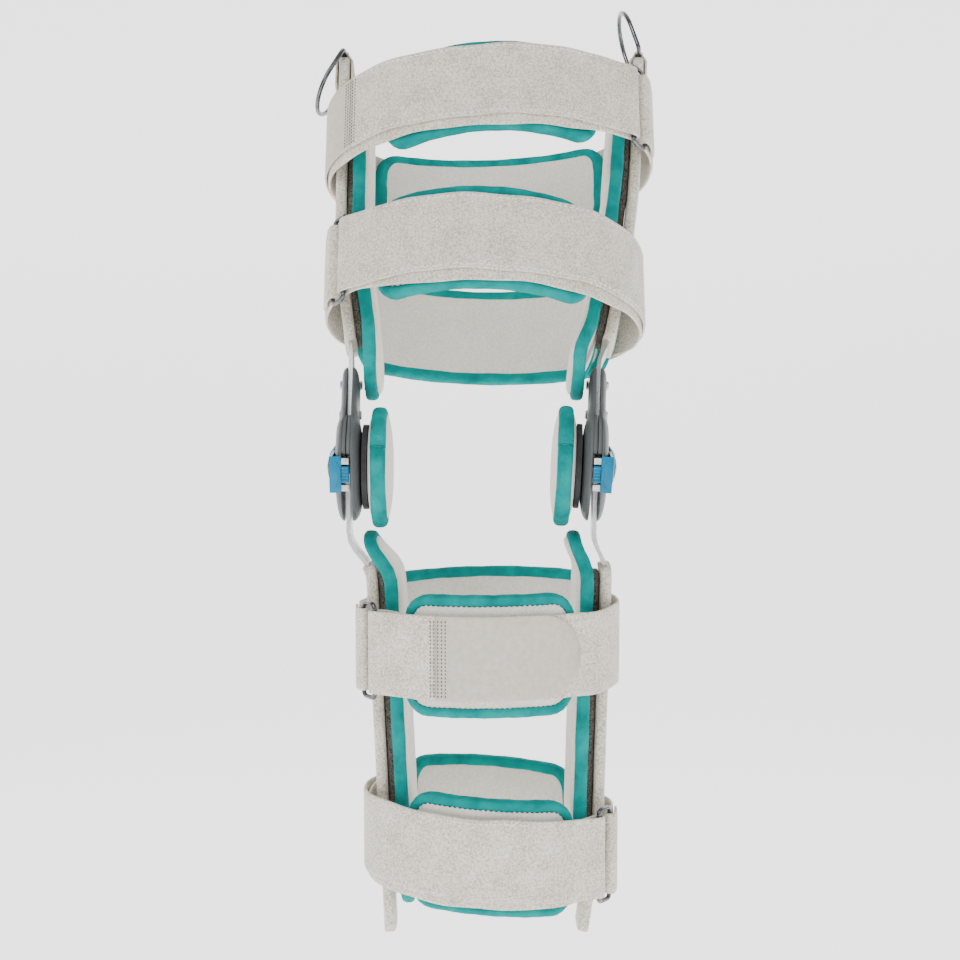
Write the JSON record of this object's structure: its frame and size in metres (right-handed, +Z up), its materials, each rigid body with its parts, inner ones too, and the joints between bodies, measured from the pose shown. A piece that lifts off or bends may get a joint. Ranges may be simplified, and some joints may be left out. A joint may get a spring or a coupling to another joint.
{
  "type": "hinged knee brace (post-operative knee immobilizer)",
  "caption": "Open knee immobilizer: hinged metal uprights with side pads, padded straps round thigh and calf, and range dials at the knee.",
  "frame": {"origin": "middle of the knee, halfway between the two hinge centres, where the leg holds the brace", "axes": "+Z up the leg, -Y the front of the knee, +X the side that is on the right seen from the front"},
  "size_m": [0.2207, 0.2223, 0.5915],
  "materials": {
    "plush": "brushed loop pile, warm light grey",
    "hook_tape": "fine woven tape, grey, with dark stitching",
    "pad_cloth": "light grey pile over foam with teal twill binding",
    "grey_plastic": "moulded, satin grey",
    "blue_plastic": "moulded, bright blue",
    "bar_aluminium": "plain rolled bar, satin",
    "ring_steel": "bright plated wire",
    "rivet_steel": "plain steel"
  },
  "bodies": {
    "thigh": {"upper_bar_left": "bar_aluminium", "upper_sleeve_left": "plush", "upper_side_pad_left": "pad_cloth", "ring_loop_left": "plush", "d_ring_left": "ring_steel", "hinge_outer_shell_left": "grey_plastic", "hinge_inner_shell_left": "grey_plastic", "hinge_pin_left": "rivet_steel", "rivet_low_left": "rivet_steel", "rivet_high_left": "rivet_steel", "condyle_pad_left": "pad_cloth", "upper_bar_right": "bar_aluminium", "upper_sleeve_right": "plush", "upper_side_pad_right": "pad_cloth", "ring_loop_right": "plush", "d_ring_right": "ring_steel", "hinge_outer_shell_right": "grey_plastic", "hinge_inner_shell_right": "grey_plastic", "hinge_pin_right": "rivet_steel", "rivet_low_right": "rivet_steel", "rivet_high_right": "rivet_steel", "condyle_pad_right": "pad_cloth", "strap_thigh_top": "plush", "hook_tab_thigh_top": "hook_tape", "strap_ring_thigh_top": "ring_steel", "front_pad_thigh_top": "pad_cloth", "back_pad_thigh_top": "pad_cloth", "strap_thigh_low": "plush", "hook_tab_thigh_low": "hook_tape", "strap_ring_thigh_low": "ring_steel", "front_pad_thigh_low": "pad_cloth", "back_pad_thigh_low": "pad_cloth"},
    "calf": {"lower_bar_left": "bar_aluminium", "lower_sleeve_left": "plush", "lower_side_pad_left": "pad_cloth", "lower_bar_right": "bar_aluminium", "lower_sleeve_right": "plush", "lower_side_pad_right": "pad_cloth", "strap_calf_top": "plush", "hook_tab_calf_top": "hook_tape", "strap_ring_calf_top": "ring_steel", "front_pad_calf_top": "pad_cloth", "back_pad_calf_top": "pad_cloth", "strap_calf_low": "plush", "hook_tab_calf_low": "hook_tape", "strap_ring_calf_low": "ring_steel", "front_pad_calf_low": "pad_cloth", "back_pad_calf_low": "pad_cloth"},
    "stop_left": {"range_dial_left": "blue_plastic", "dial_screw_left": "rivet_steel", "stop_slider_left": "blue_plastic", "stop_block_high_left": "rivet_steel", "stop_block_low_left": "rivet_steel"},
    "stop_right": {"range_dial_right": "blue_plastic", "dial_screw_right": "rivet_steel", "stop_slider_right": "blue_plastic", "stop_block_high_right": "rivet_steel", "stop_block_low_right": "rivet_steel"}
  },
  "joints": [
    {"name": "knee_flexion", "type": "hinge", "parent": "thigh", "child": "calf", "pos_m": [0, 0, 0], "axis": [1, 0, 0], "range_deg": [-25, 65]},
    {"name": "range_stop_left", "type": "hinge", "parent": "thigh", "child": "stop_left", "pos_m": [-0.075, 0, 0], "axis": [1, 0, 0], "range_deg": [0, 20]},
    {"name": "range_stop_right", "type": "hinge", "parent": "thigh", "child": "stop_right", "pos_m": [0.075, 0, 0], "axis": [0.9986, -0.0179, -0.0492], "range_deg": [0, 20]}
  ]
}
